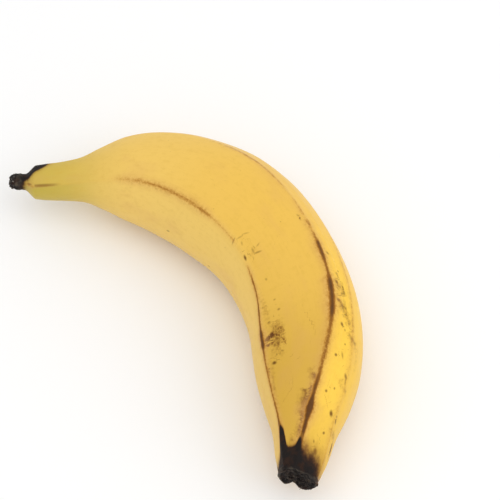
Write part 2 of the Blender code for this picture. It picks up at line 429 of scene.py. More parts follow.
# %% The marks: distance along, turn, length, width, slant in degrees to the bow, strength
FLECKS = [
    (152, 2.71, 1.6, 1, -30, 0.7), (165.3, 2.67, 1.8, 1.4, -31, 1), (162.6, 2.53, 3.4, 1.1, -16, 0.45),
    (160.2, 2.42, 0.9, 0.8, 0, 0.6), (167.1, 2.36, 1.4, 0.9, -11, 0.8), (170, 2.49, 1, 0.9, 0, 0.8),
    (169.2, 2.34, 2, 1.1, 0, 0.7), (172.8, 2.70, 2, 1.3, -62, 1), (175.1, 2.52, 4.8, 1.4, -21, 0.42),
    (168, 2.68, 2, 1, -30, 0.35), (182.8, 2.52, 1.9, 1.4, -32, 1), (184.7, 2.36, 1.2, 0.8, -21, 0.5),
    (187.6, 2.03, 5.2, 1.5, -55, 0.4), (190.8, 2.30, 0.9, 0.8, 0, 0.7), (196.6, 2.61, 1.3, 1.2, -34, 0.9),
    (195.7, 2.35, 3, 0.9, -16, 0.55), (203.9, 2.06, 2.5, 1.2, -32, 0.8), (205.9, 2.03, 2.6, 0.9, -10, 0.5),
    (211.6, 2.62, 1.2, 1.1, -48, 0.8), (209.6, 2.35, 1, 0.9, 0, 0.7), (218.9, 2.18, 2.4, 1.5, -33, 1),
    (219.1, 1.96, 1.2, 0.8, -68, 0.7), (220.7, 1.95, 2.4, 1.1, -29, 0.9), (226.9, 2.27, 1.2, 1.1, 0, 0.85),
    (231.4, 2.57, 1.4, 0.8, -19, 0.6), (234.6, 2.43, 2, 1.6, -35, 0.9), (235.2, 2.70, 1.2, 1.1, 0, 0.7),
    (238.3, 2.14, 1.2, 1, 0, 0.9), (139.1, 3.98, 3, 1.1, 10, 1), (128.3, 3.91, 3.5, 0.9, -80, 0.34),
    (128.6, 3.82, 3.1, 0.8, -65, 0.32), (127.6, 4, 3.2, 0.9, 62, 0.6), (138.2, 3.85, 3, 0.9, 10, 0.4),
    (140.4, 3.80, 3.4, 1, -79, 0.55), (137.2, 3.76, 2.2, 0.8, 64, 0.36), (131.6, 3.93, 2.2, 0.8, 20, 0.35),
    (155, 3.82, 1.4, 1, -8, 0.45), (167.3, 3.76, 1.2, 0.9, 80, 0.45), (173.5, 3.71, 1.4, 1.2, 65, 0.6),
    (179, 3.86, 1.5, 1, 64, 0.6), (196.1, 3.78, 1.1, 0.9, 0, 0.5), (194.8, 3.68, 1.4, 0.9, -78, 0.5),
    (199.6, 3.84, 2.2, 1.5, 84, 1), (9.6, 3.93, 2, 1.1, 0, 0.8), (15.5, 3.97, 12, 1.3, -3, 0.75),
    (88, 1.5, 3.2, 1, 20, 0.7), (121, 1.3, 1.6, 1.3, 0, 0.8), (127, 1.6, 4.6, 0.9, -12, 0.5),
    (146, 1.2, 1.4, 1.2, 0, 0.7), (158, 1.55, 2.4, 1.2, 30, 0.9), (64, 1.7, 2, 1.2, 0, 0.6),
    (178, 1.25, 1.8, 1.2, -20, 0.7), (206, 1.4, 2.2, 1.4, 10, 0.8), (110, 0.4, 2.6, 1.2, 0, 0.7),
    (150, 0.6, 2, 1.4, 40, 0.8), (84, 4.5, 2.2, 1.2, -15, 0.6), (118, 4.6, 1.6, 1.2, 0, 0.7),
    (168, 4.45, 3.4, 1, 12, 0.6),
]
BRUISES = [
    (186.3, 3.83, 3.8, 3, 71, 1.15), (187.6, 3.91, 4.2, 2.4, 71, 1.1), (190.6, 3.89, 5.2, 1.8, 82, 0.9),
    (184.6, 3.69, 5.4, 3.4, -16, 0.6), (190, 3.65, 6, 3, -20, 0.56), (181.6, 3.74, 4, 2.6, 0, 0.5),
    (236.2, 2.85, 4, 2, -44, 0.8), (230.7, 1.80, 6.5, 2.4, -8, 1), (207, 3.05, 4.6, 2.6, -30, 0.85),
    (212.4, 3.06, 6.4, 3.2, 7, 0.8), (217, 3.09, 7, 4.4, 10, 0.86), (222.4, 3.10, 8, 4.4, 9, 0.86),
    (228, 3.12, 7, 3.4, 10, 0.78), (203, 3.96, 6, 1.4, 0, 0.55), (133.5, 3.08, 3.6, 1.6, 15, 0.62),
    (112, 1.04, 9, 2.4, 0, 0.7), (158, 0.98, 12, 2.6, 0, 0.75), (96, 1.7, 5, 3, 50, 0.6),
]
STAINS = [
    (187, 3.76, 22, 8, 0, 0.85), (172, 3.90, 28, 3.6, 0, 0.5), (206.5, 3.11, 7, 3.6, -20, 0.8),
    (217, 3.16, 19, 6.4, 4, 0.95), (228, 3.22, 7, 3.2, 5, 0.7), (167, 2.55, 12, 6, -20, 0.62),
    (175, 2.50, 9, 5, -22, 0.72), (180.4, 2.20, 10, 5, -28, 0.7), (188.5, 1.98, 10, 4, -48, 0.64),
    (208, 2.05, 9, 3, -50, 0.6), (225.7, 1.90, 9, 3.4, -80, 0.7), (238.3, 2.49, 5.5, 4.4, -70, 0.9),
    (235, 2.78, 6, 2.6, 0, 0.8), (232, 3.45, 4.2, 4, 0, 0.75), (101, 3, 30, 2.6, 0, 0.6),
    (78, 4, 60, 3, 0, 0.5), (139, 3.88, 7, 5, 0, 0.42), (196, 1.9, 14, 3, 0, 0.35),
    (208, 3.92, 26, 2.6, 0, 0.55), (153, 2.9, 9, 2.4, 0, 0.45), (135, 1, 60, 5, 0, 0.55),
    (96, 1.68, 14, 8, 50, 0.6), (140, 0, 50, 4, 0, 0.5), (60, 1.4, 18, 5, 0, 0.4),
]


def add_object(name, data):
    made = bpy.data.objects.new(name, data)
    bpy.context.scene.collection.objects.link(made)
    return made


def make_marks(name, wanted):
    """A mesh with one point for each mark, in millimetres on the straightened fruit."""
    mesh = bpy.data.meshes.new(name)
    mesh.from_pydata([on_straight_fruit(along_bow, turn_round) for along_bow, turn_round, *_ in wanted], [], [])
    for title, column in (("length", 2), ("width", 3), ("slant", 4), ("strength", 5)):
        values = [mark[column] for mark in wanted]
        mesh.attributes.new(title, "FLOAT", "POINT").data.foreach_set("value", values)
    return add_object(name, mesh)


flecks = make_marks("flecks", FLECKS)
bruises = make_marks("bruises", BRUISES)
stains = make_marks("stains", STAINS)
print(len(FLECKS), "flecks,", len(BRUISES), "bruises and", len(STAINS), "stains")

# %% [markdown]
# ## Growing the skin between the ridges
# The peel could be modelled by pushing points about by hand, or lofted through drawn sections. A node
# tree does it by rule: a flat grid is laid out, one row of points for each ring of the cage, and each
# point is then moved to where the rule puts it. The tree's inputs are the sizes of that rule, so they
# can be tried out in the modifier without touching the tree.


# %% A tree with named inputs and outputs, and the nodes of a shape
def start_tree(name, kind, inputs, outputs):
    """A new node tree, its inputs as wires, and a function that connects its outputs.

    An input is given by its first value, or by its kind where it has none.
    """
    tree = bpy.data.node_groups.new(name, kind + "NodeTree")
    for title, value in inputs.items():
        socket = value if isinstance(value, str) else {int: "Int", float: "Float"}[type(value)]
        made = tree.interface.new_socket(title, in_out="INPUT", socket_type="NodeSocket" + socket)
        if socket != value:
            made.default_value = value
    for title, socket in outputs.items():
        tree.interface.new_socket(title, in_out="OUTPUT", socket_type="NodeSocket" + socket)
    start, end = tree.nodes.new("NodeGroupInput"), tree.nodes.new("NodeGroupOutput")

    def give_out(**results):
        for title, wire in results.items():
            feed(end.inputs[title], wire)

    return tree, {title: Wire(start.outputs[title]) for title in inputs}, give_out


def shape_node(kind, *values, **settings):
    """Adds a geometry node to the tree of its wires."""
    return add_node(tree_of(*values), "GeometryNode" + kind, *values, **settings)


def read_attribute(tree, name, kind="FLOAT"):
    return add_node(tree, "GeometryNodeInputNamedAttribute", name, data_type=kind)


def sample(source, field, point, kind="FLOAT"):
    """What a field says at one numbered point of another mesh."""
    return shape_node("SampleIndex", source, field, point, data_type=kind, domain="POINT", clamp=True)


# %% Start the tree, with its named inputs
shape_tree, given, give_out = start_tree(
    "plantain skin",
    "Geometry",
    {
        "Cage": "Geometry",
        "Rings": len(station),
        "Points Around": 185,
        "Ridge Crowding": 0.45,
        "Keel Height": KEEL_HEIGHT,
        "Keel Width": math.radians(KEEL_WIDTH),
        "Relief": 1.0,
        "Seed": 3.0,
        "Flecks": "Object",
        "Bruises": "Object",
        "Stains": "Object",
        "Skin Material": "Material",
    },
    {"Skin": "Geometry"},
)


def cage_value(name, point, kind="FLOAT"):
    """Looks up an attribute of the cage at one of its points."""
    return sample(given["Cage"], read_attribute(shape_tree, name, kind), point, kind)


print("inputs of the skin's tree:", ", ".join(given))

# %% Which ring and which turn each point of the grid belongs to
# A grid numbers its points row by row. Turns 0 to 5 lie on the ridges in order, and turn 5 is turn 0 again.
columns = given["Points Around"] + 1
grid = shape_node("MeshGrid", 1.0, 1.0, given["Rings"], columns)
index = add_node(shape_tree, "GeometryNodeInputIndex")
ring = whole(index / columns)
turn = (index - ring * columns) / given["Points Around"] * RIDGE_COUNT
face = whole(turn)
even_share = turn - face
# The points crowd towards the ridges, where the skin bends most.
share = even_share - given["Ridge Crowding"] * sine(even_share * TURN) / TURN
first_point = ring * RING_POINTS + face + 1
near_start = below(share, 0.5)

# %% The section: a circle that flattens between its ridges
this_ridge = cage_value("ridge angle", first_point)
next_ridge = cage_value("ridge angle", first_point + 1)
half = (next_ridge - this_ridge) / 2
half_before = (this_ridge - cage_value("ridge angle", first_point - 1)) / 2
half_after = (cage_value("ridge angle", first_point + 2) - next_ridge) / 2
angle = this_ridge + share * (next_ridge - this_ridge)
from_ridge = least(share, 1 - share) * 2 * half
nearest_ridge = first_point + 1 - near_start
ridge_softness = cage_value("ridge softness", nearest_ridge)
# Two faces that meet may differ in width, so each takes the mean of both close to their ridge.
RIDGE_BLEND = 2.5
to_neighbour = (blend_to(half_after, half_before, near_start) - half) * 0.5
half = half + to_neighbour * falling(from_ridge / (ridge_softness * RIDGE_BLEND))
rounded = root(from_ridge * from_ridge + ridge_softness * ridge_softness)
flatness = cosine(half) / cosine(half - rounded)
roundness = cage_value("roundness", first_point)
ridge_radius = cage_value("radius", first_point)
keel = given["Keel Height"] * (1 - roundness) * falling(from_ridge / given["Keel Width"])
radius = ridge_radius * (roundness + (1 - roundness) * flatness) + keel

# %% The torn rim, by the turn round the last ring
last_ring = [float(smooth(ridge, BOW_LENGTH)) for ridge in RIDGES]
last_ring.append(last_ring[0] + 360)
rim_turns = np.linspace(0, RIDGE_COUNT, 61)
rim_angles = np.interp(rim_turns, range(RIDGE_COUNT + 1), last_ring) % 360
rim = curve(turn, list(zip(rim_turns, smooth(TORN_RIM, rim_angles))), finest=61)
reaches = [reach for _, reach in TORN_RIM]
print("the torn rim ends", min(reaches), "to", max(reaches), "mm past the end of the bow")

# %% Put the points in place
shrunk = radius * cage_value("shrink", first_point)
across = shrunk * cosine(angle)
up = shrunk * sine(angle) * cage_value("height share", first_point)
position = add_node(shape_tree, "GeometryNodeInputPosition")
middle_of_ring = sample(given["Cage"], position, first_point, "FLOAT_VECTOR")
outward_way = cage_value("outward", first_point, "FLOAT_VECTOR")
ahead_way = cage_value("ahead", first_point, "FLOAT_VECTOR")
past_rim = rim * cage_value("rim share", first_point)
place = middle_of_ring + outward_way * across + ahead_way * past_rim + vector(0.0, 0.0, up)


def pressed_flat(place):
    """The underside bears on the table, so nothing lies below it."""
    x, y, z = parts(place)
    return vector(x, y, most(z, 0.0))


skin = shape_node("SetPosition", grid, True, pressed_flat(place))
print(len(shape_tree.nodes), "nodes so far put the points in place")

# %% [markdown]
# ## What the skin remembers
# A material can't see the cage. So each point of the skin keeps what the paint will need: its place on
# the fruit as if that were straightened, how far it is from its ridge, how brown that ridge is, and how
# deep inside the blackened ends it lies. A texture on the straightened place runs along the fruit round
# every bend and has no seam. These are point attributes, and a pair of numbers kept at the corners of
# the faces makes the UV map, which may jump where the two edges of the grid meet.

# %% How far the two blackened ends reach, by the turn round the fruit
STALK_BLACK_FROM = [
    (0, 238), (0.6, 238.5), (1.3, 241), (1.7, 242.4), (2.1, 239.8), (2.3, 237.6), (2.45, 236.6), (2.6, 236.4),
    (2.75, 235.6), (2.89, 234.4), (3, 231.5), (3.14, 231), (3.22, 232.4), (3.32, 234.2), (3.58, 234.6),
    (3.66, 233.6), (3.72, 230.2), (3.78, 227.4), (3.84, 226.4), (3.92, 225), (4, 226.5), (4.07, 231.5),
    (4.14, 236), (4.28, 238.5), (4.49, 240.5), (4.6, 238), (4.75, 237.5), (5, 238),
]
FLOWER_BLACK_TO = [
    (0, 7.8), (0.9, 7.5), (1.9, 7.6), (2.5, 8.2), (2.75, 11), (2.95, 17), (3.05, 18), (3.2, 17), (3.38, 13.8),
    (3.56, 9.8), (3.73, 7.8), (3.9, 7.4), (4.2, 7.2), (5, 7.8),
]
# How gradual the edge of the black is: 1 is crisp.
EDGE_SOFTNESS = [
    (0, 1), (1.4, 1.4), (1.9, 2.4), (2.7, 2.4), (2.95, 1.2), (3.2, 0.6), (4.1, 0.7), (4.5, 1.2), (5, 1),
]
place_along = cage_value("along", first_point)
black_at_stalk = (place_along - curve(turn, STALK_BLACK_FROM, 101)) / curve(turn, EDGE_SOFTNESS)
black_at_flower = (curve(turn, FLOWER_BLACK_TO, 101) - place_along) / 1.4
black = most(black_at_stalk, black_at_flower)


# %% Store what the materials read
def keep(mesh, name, value, kind="FLOAT", domain="POINT"):
    return shape_node("StoreNamedAttribute", mesh, True, name, value, data_type=kind, domain=domain)


def kept(name, kind="FLOAT"):
    return read_attribute(shape_tree, name, kind)


ring_radius = ridge_radius * cage_value("shrink", first_point)
straight = vector(place_along, ring_radius * cosine(angle), ring_radius * sine(angle))
skin = keep(skin, "straight", straight, "FLOAT_VECTOR")
for name, value in (
    ("along", place_along),
    ("turn", turn),
    ("ridge distance", from_ridge * radius),
    ("ridge brown", cage_value("ridge brown", nearest_ridge)),
    ("ridge line width", cage_value("ridge line width", nearest_ridge)),
    ("black", black),
):
    skin = keep(skin, name, value)


# %% Store the nearest mark of each kind, and the UV map
def keep_nearest_mark(mesh, name, marks_object):
    """Keeps how strong the nearest mark is, how far its middle lies, and the way from there in half sizes."""
    points = add_node(shape_tree, "GeometryNodeObjectInfo", marks_object, output="Geometry")
    here = kept("straight", "FLOAT_VECTOR")
    nearest = shape_node("SampleNearest", points, here, domain="POINT")

    def of_mark(fact):
        return sample(points, kept(fact), nearest)

    middle = sample(points, position, nearest, "FLOAT_VECTOR")
    _, middle_y, middle_z = parts(middle)
    from_middle = here - middle
    way_on, way_y, way_z = parts(from_middle)
    way_round = (way_z * middle_y - way_y * middle_z) / root(middle_y * middle_y + middle_z * middle_z)
    slant = of_mark("slant") * (TURN / 360)
    lengthwise = (way_on * cosine(slant) + way_round * sine(slant)) * 2 / of_mark("length")
    crosswise = (way_round * cosine(slant) - way_on * sine(slant)) * 2 / of_mark("width")
    mesh = keep(mesh, name + " strength", of_mark("strength"))
    mesh = keep(mesh, name + " distance", length(from_middle))
    return keep(mesh, name + " offset", vector(lengthwise, crosswise, 0.0), "FLOAT_VECTOR")


for name, kind_of_mark in (("fleck", "Flecks"), ("bruise", "Bruises"), ("stain", "Stains")):
    skin = keep_nearest_mark(skin, name, given[kind_of_mark])
# The map has one unit for this length along the skin, in millimetres, and one for a turn round it.
MAP_START = -4.0
MAP_LENGTH = 262.0
peel_map = vector((kept("along") - MAP_START) / MAP_LENGTH, kept("turn") / RIDGE_COUNT, 0.0)
skin = keep(skin, "peel_map", peel_map, "FLOAT2", "CORNER")
print("one unit of the map is", MAP_LENGTH, "mm of skin one way and a turn round it the other")

# %% Close the skin, and turn its faces outwards
WELD = 0.001
skin = shape_node("FlipFaces", shape_node("MergeByDistance", skin, True, WELD))
skin = shape_node("RemoveAttribute", skin, "turn")

# %% [markdown]
# ## Relief that a finger would feel
# A fresh peel is nearly smooth, with slow swells. Where it has dried black it shrinks on to its fibres:
# lengthwise wrinkles on the stalk, crumpled folds where the stalk was torn off, lumps on the flower
# scar. All of it is real relief here and not bump, because it shows in the outline. Each kind is a noise
# pattern that is stretched the way the fibres run, and the black attribute says where it belongs.

# %% Slow swells, wrinkles, folds and lumps, in millimetres
SWELL = 0.5
WRINKLE = 0.75
FOLD = 1.3
FOLD_SPACING = 3.6
FIRST_FOLD = BOW_LENGTH + 1.4
LUMP = 2.0
# How the flower nub swells out and rounds off, by the distance along.
NUB_SWELL = [(-3, 0.2), (-1.4, 0), (0, -0.7), (1.2, -0.1), (3.5, 0.35), (6, 0.2), (8.5, 0), (BOW_LENGTH, 0)]
straight = kept("straight", "FLOAT_VECTOR")
seed = given["Seed"]
dried = ease(kept("black"), -0.5, 2.5)
torn = ease(kept("along"), BOW_LENGTH - 1.0, BOW_LENGTH + 2.0)
at_scar = ease(kept("along"), 8.0, 4.5)
swells = (noise(straight, 26.0, 1.0, 0.4, seed) - 0.5) * SWELL * (1 - dried)
lengthwise = straight * (0.16, 1.0, 1.0)
wrinkles = (noise(lengthwise, 1.7, 2.5, 0.55, seed + 3.0) - 0.5) * WRINKLE * dried * (1 - torn)
bent = noise(straight, 5.0, 1.5, 0.5, seed + 6.0) - 0.5
past_first = (kept("along") - FIRST_FOLD + bent * 5.0) / FOLD_SPACING
folds = cosine(past_first * TURN) * 0.5 * FOLD * torn * (0.4 + noise(straight, 3.0, 1.0, 0.5, seed + 9.0))
crumple = (noise(straight, 2.4, 2.5, 0.5, seed + 12.0) - 0.5) * FOLD * 1.4 * torn
lumps = (noise(straight, 1.9, 2.5, 0.6, seed + 15.0) - 0.45) * LUMP * at_scar
relief = swells + wrinkles + folds + crumple + lumps + curve(kept("along"), NUB_SWELL, 99)


# %% Raise the relief, keep its height for the paint, and finish the tree
def finished_piece(mesh, material):
    """Smooth, real geometry with its material, as the last step of a tree."""
    mesh = shape_node("RealizeInstances", shape_node("SetShadeSmooth", mesh))
    return shape_node("SetMaterial", mesh, True, material)


normal = add_node(shape_tree, "GeometryNodeInputNormal")
# The relief's height is kept so that the paint can put a painted highlight on its crests.
skin = keep(skin, "relief", relief)
skin = shape_node("SetPosition", skin, True, None, normal * (kept("relief") * given["Relief"]))
skin = shape_node("SetPosition", skin, True, pressed_flat(position))
give_out(Skin=finished_piece(skin, given["Skin Material"]))
print(len(shape_tree.nodes), "nodes grow the skin")

# %% [markdown]
# ## Colours
# Colours are named for what they are on the fruit. A colour listed here is on the screen's scale, and
# Blender works with light, so each is converted once.


# %% The fruit's colours
def colour(red, green, blue):
    """A colour as Blender wants it, from the 0 to 255 that a screen shows."""
    shares = [value / 255 for value in (red, green, blue)]
    return tuple(s / 12.92 if s <= 0.04045 else ((s + 0.055) / 1.055) ** 2.4 for s in shares) + (1.0,)


RIPE_YELLOW = colour(238, 192, 84)
# Painted light: the brighter yellow of the outer faces where the right lamp falls.
PAINTED_LIGHT_YELLOW = colour(248, 202, 74)
# Painted light: a paler yellow that lifts the shaded inner side; along the neck it is a paler tone as well.
PALE_YELLOW_AND_INNER_LIGHT = colour(240, 202, 108)
DULL_GOLD = colour(208, 164, 58)
NECK_GREEN = colour(192, 172, 70)
TAN = colour(212, 160, 96)
SCUFF_OLIVE = colour(106, 67, 0)
STAIN_BROWN = colour(158, 110, 32)
LINE_TAN = colour(184, 126, 38)
BRUISE_BROWN = colour(134, 82, 8)
DEEP_BROWN = colour(74, 37, 3)
FRINGE_BROWN = colour(96, 58, 14)
SOOT_BLACK = colour(22, 14, 11)
# Grey of dried skin; on the crests of the peel's folds it is a painted highlight.
DRY_GREY_AND_HIGHLIGHT = colour(120, 109, 93)
print("ripe yellow, as light:", [round(value, 3) for value in RIPE_YELLOW[:3]])

# %% [markdown]
# ## Effects that are used more than once
# An effect that several materials use, or one material several times, is a group of shader nodes with
# named inputs and outputs. It is built once and placed wherever it is wanted with its own values, as a
# stamp would be. A group here gives out masks or colours only, and the shader stays in the material.


# %% Place a group, and lay colours over one another
def use_group(tree, group, **values):
    """Places a group in a material. Returns its outputs by name."""
    made = tree.nodes.new("ShaderNodeGroup")
    made.node_tree = group
    for title, value in values.items():
        feed(made.inputs[title.replace("_", " ")], value)
    return {slot.name: Wire(slot) for slot in made.outputs}


def paint(tone, *coats):
    """Lays coats over a tone. Each is a colour, and how much of it shows, from 0 to 1."""
    for coat, share in coats:
        tone = add_node(share.tree, "ShaderNodeMix", share, tone, coat, data_type="RGBA")
    return tone


# %% Speckles: small round freckles scattered over the skin
speckles, of, give_out = start_tree(
    "speckles", "Shader", {"Place": "Vector", "Spacing": 4.0, "Size": 0.4, "Share": 0.5}, {"Mask": "Float"}
)
cell = speckles.nodes.new("ShaderNodeTexVoronoi")
feed(cell.inputs["Vector"], of["Place"] / of["Spacing"])
feed(cell.inputs["Scale"], 1.0)
chance, own_size, _ = parts(Wire(cell.outputs["Color"]))
speck_radius = of["Size"] * (0.4 + own_size)
from_middle = Wire(cell.outputs["Distance"]) * of["Spacing"]
give_out(Mask=ease(from_middle / speck_radius, 1.0, 0.55) * below(chance, of["Share"]))

# %% Marks: flecks, bruises and stains at chosen places
marks, of, give_out = start_tree(
    "marks", "Shader", {"Offset": "Vector", "Distance": 99.0, "Strength": 1.0, "Softness": 0.7}, {"Mask": "Float"}
)
# How far from its middle a mark ends, in millimetres, for every point of the skin has some nearest mark.
WIDEST_MARK = 26.0
edge = ease(length(of["Offset"]), 1.15 + of["Softness"] / 2, 1.15 - of["Softness"])
give_out(Mask=edge * of["Strength"] * below(of["Distance"], WIDEST_MARK))

# %% Dried plant skin: soot black, brown where it is thin, grey painted highlight on the crests of its Relief
dried_skin, of, give_out = start_tree(
    "dried skin",
    "Shader",
    {"Place": "Vector", "Relief": 0.0, "Depth": 1.0, "Grain": 0.7},
    {"Colour": "Color", "Roughness": "Float", "Height": "Float"},
)
grain = noise(of["Place"] / of["Grain"], 1.0, 3.0, 0.6, 5.5)
edge_brown = ease(of["Depth"] + grain * 3.0, 3.2, 0.6)
# Grey where Relief is high: on the peel's folds a painted highlight on the crests; on the crumbs and fibres,
# whose Relief is noise, grey patches.
grey_highlight_and_patches = ease(of["Relief"] + (grain - 0.5) * 0.6, 0.2, 0.8)
warm = ease(noise(of["Place"], 3.2, 2.0, 0.6, 2.4), 0.46, 0.68)
# The grey is a painted highlight on crests, laid over the soot black and brown.
tone = paint(SOOT_BLACK, (DEEP_BROWN, most(edge_brown, warm * 0.26)), (DRY_GREY_AND_HIGHLIGHT, grey_highlight_and_patches * 0.32))
give_out(Colour=tone, Roughness=0.5 + grain * 0.3, Height=grain)
print("shader groups:", ", ".join(group.name for group in (speckles, marks, dried_skin)))

# %% [markdown]
# ## The material of the peel
# A ripe peel is yellow through a thin wax, dull gold towards the stalk and still green about the neck. The
# material also paints light into the yellow: a brighter yellow on the outer faces where the right lamp
# falls, and a paler yellow that lifts the shaded inner side. Over that come the freckles and marks, the
# brown lines of the ridges, and last the black of both ends with a brown fringe and a painted grey
# highlight on the crests of its folds. The material lays these over one another in the same order, each
# with its own mask, so that any of them can be changed alone.


# %% Start a material, and feed its shader
def start_material(name):
    """A new material, and its node tree."""
    made = bpy.data.materials.new(name)
    made.use_nodes = True
    return made, made.node_tree


def feed_shader(tree, tone, roughness, height, depth, strength):
    """Feeds a material's shader its colour, roughness and bump. depth is the bump's, in metres."""
    bump = tree.nodes.new("ShaderNodeBump")
    for title, value in (("Height", height), ("Distance", depth), ("Strength", strength)):
        feed(bump.inputs[title], value)
    shader = tree.nodes["Principled BSDF"]
    for title, wire in (("Base Color", tone), ("Roughness", roughness), ("Normal", Wire(bump.outputs[0]))):
        feed(shader.inputs[title], wire)


# %% Start the material, and read what the skin remembers
peel_material, tree = start_material("ripe peel")


def remembered(name, output="Fac"):
    return add_node(tree, "ShaderNodeAttribute", attribute_name=name, output=output)


straight = remembered("straight", "Vector")
map_along, map_turn, _ = parts(remembered("peel_map", "Vector"))
along_skin = map_along * MAP_LENGTH + MAP_START
turn_round = map_turn * RIDGE_COUNT
ridge_distance = remembered("ridge distance")
fibres = noise(straight * (0.07, 1.0, 1.0), 0.9, 2.0, 0.5, 1.1)
clouds = noise(straight * (0.5, 1.0, 1.0), 11.0, 3.0, 0.55, 2.2)
mottle = noise(straight, 2.6, 3.0, 0.6, 3.3)

# %% The ground colour: by the face of the fruit, then along it
# Painted light on the outer faces: how much brighter yellow each face gets where the right lamp falls.
LIT_OUTER_SIDE = [(0, 0.2), (0.8, 0.4), (1.6, 0.7), (2, 0.8), (2.3, 1), (2.9, 1), (3.05, 0), (3.9, 0), (5, 0.2)]
# Painted light on the inner side: a paler yellow lifts the faces that lie in shade.
INNER_SIDE_LIGHT = [(0, 0.7), (0.9, 0.3), (1.5, 0), (3, 0), (3.85, 0), (4.15, 1), (4.7, 1), (5, 0.7)]
PALING = [(-5, 0), (20, 0.4), (40, 0.75), (70, 0.6), (95, 0.2), (125, 0), (BOW_LENGTH, 0)]
DULLING = [(-5, 0.7), (30, 0.25), (60, 0), (130, 0.1), (165, 0.3), (185, 0.7), (205, 1), (BOW_LENGTH, 1)]
GREENING = [(-5, 0.8), (12, 1), (20, 0.9), (32, 0.55), (44, 0.14), (58, 0), (BOW_LENGTH, 0)]
lit_outer_side = curve(turn_round, LIT_OUTER_SIDE)
# The paler yellow: painted light on the shaded inner side, and a paler neck along the fruit.
pale_and_inner_light = most(curve(turn_round, INNER_SIDE_LIGHT), curve(along_skin, PALING))
green = curve(along_skin, GREENING) * (0.55 + 0.45 * pale_and_inner_light) * (0.7 + 0.6 * clouds)
ground = paint(
    RIPE_YELLOW,
    # painted light: brighter yellow on the outer faces, towards the stalk
    (PAINTED_LIGHT_YELLOW, lit_outer_side * ease(along_skin, 110.0, 175.0)),
    # painted light: paler yellow on the shaded inner side, and the paler neck
    (PALE_YELLOW_AND_INNER_LIGHT, pale_and_inner_light * 0.9),
    (DULL_GOLD, curve(along_skin, DULLING) * (1 - lit_outer_side) * (1 - pale_and_inner_light * 0.7) * 0.8),
    (NECK_GREEN, green),
    (DULL_GOLD, lit_outer_side * ease(along_skin, 212.0, 236.0) * 0.5),
    (TAN, ease(clouds, 0.5, 0.75) * 0.2),
    (DULL_GOLD, ease(mottle * 0.6 + fibres * 0.4, 0.45, 0.7) * 0.2),
)

# %% Freckles, flecks, scratches, bruises and stains
wavering = noise(straight, 1.1, 2.0, 0.6, 6.1)
shaken = straight + vector(wavering - 0.5, (fibres - 0.5) * 0.8, (wavering - 0.5) * 0.8)
FRECKLED = [(-5, 0), (120, 0.02), (145, 0.3), (175, 0.6), (200, 0.4), (230, 0.5), (BOW_LENGTH, 0.3)]
freckled = curve(along_skin, FRECKLED) * (0.25 + 0.75 * lit_outer_side)
tiny = use_group(tree, speckles, Place=shaken, Spacing=2.6, Size=0.26, Share=freckled * ease(clouds, 0.4, 0.6))
few = use_group(tree, speckles, Place=shaken + (50.0, 0.0, 0.0), Spacing=6.5, Size=0.34, Share=0.12)
shake = vector(wavering - 0.5, (fibres - 0.5) * 0.8, 0.0)


def marked_by(name, wobble, softness):
    """The mask of the marks that the skin remembers under this name."""
    offset = remembered(name + " offset", "Vector") + shake * wobble
    distance, strength = remembered(name + " distance"), remembered(name + " strength")
    return use_group(tree, marks, Offset=offset, Distance=distance, Strength=strength, Softness=softness)["Mask"]


patchy = noise(straight, 1.6, 3.0, 0.7, 4.4) - 0.5
speckled = noise(straight, 0.75, 3.0, 0.7, 8.4) - 0.5
stain_mask = ease(marked_by("stain", 1.2, 1.6) * 1.3 + patchy * 1.5, 0.15, 1.2)
fleck_mask = marked_by("fleck", 0.6, 0.9)
bruise_mask = ease(marked_by("bruise", 1.3, 1.1) * 1.1 + speckled * 2.2, 0.25, 1.0)
scattered = most(tiny["Mask"] * 0.5, few["Mask"] * 0.35)
marked = paint(
    ground,
    (STAIN_BROWN, stain_mask * 0.85),
    (SCUFF_OLIVE, ease(stain_mask + speckled * 2.0, 0.56, 1.1) * 0.55),
    (SCUFF_OLIVE, most(scattered, fleck_mask * 0.95)),
    (BRUISE_BROWN, bruise_mask),
    (DEEP_BROWN, ease(bruise_mask, 0.75, 1.0) * 0.7),
)
spots = most(fleck_mask, bruise_mask)

# %% The brown lines of the ridges: a broken stipple where they are faint, solid where they are strong
ridge_brown = remembered("ridge brown")
ragged = noise(straight * (0.6, 1.0, 1.0), 0.8, 3.0, 0.7, 7.3)
uneven = noise(straight, 4.5, 2.0, 0.5, 5.7)
reach = ridge_distance / (remembered("ridge line width") * (0.75 + uneven))
line_amount = falling(reach) * ridge_brown
line = ease(line_amount * 1.5 + (ragged - 0.5) * 1.9, 0.2, 1.05)
halo = falling(reach * 0.42) * ridge_brown * 0.6
smudge = falling(reach * 0.58) * ridge_brown * ease(patchy + speckled * 0.5, -0.12, 0.16)
line_tone = paint(
    LINE_TAN,
    (BRUISE_BROWN, ease(line_amount + (ragged - 0.5) * 0.3, 0.34, 0.8)),
    (DEEP_BROWN, ease(line_amount + (uneven - 0.5) * 0.7, 0.68, 1.1) * 0.85),
)
marked = paint(marked, (TAN, halo), (LINE_TAN, smudge * 0.8), (line_tone, line * 0.95))

# %% The black ends, with their brown fringe
black = remembered("black")
fringe_noise = noise(straight * (0.6, 1.0, 1.0), 2.2, 4.0, 0.65, 3.9)
depth = black + (fringe_noise - 0.5) * 2.6
blackened = ease(depth, -0.35, 0.8)
at_stalk = ease(along_skin, 40.0, 120.0)
# Relief from the skin puts a painted grey highlight on the crests of the dried folds.
dried = use_group(tree, dried_skin, Place=straight, Relief=remembered("relief"), Depth=black, Grain=0.6)
finished = paint(
    marked,
    (STAIN_BROWN, ease(depth, -3.2, -0.6) * blend_to(0.15, 0.55, at_stalk)),
    (FRINGE_BROWN, ease(depth, -1.5, 0.4) * blend_to(0.5, 0.9, at_stalk)),
    (dried["Colour"], blackened),
)

# %% Finish the shader: a satin wax, dull where the skin has browned
WAX_ROUGHNESS = 0.42
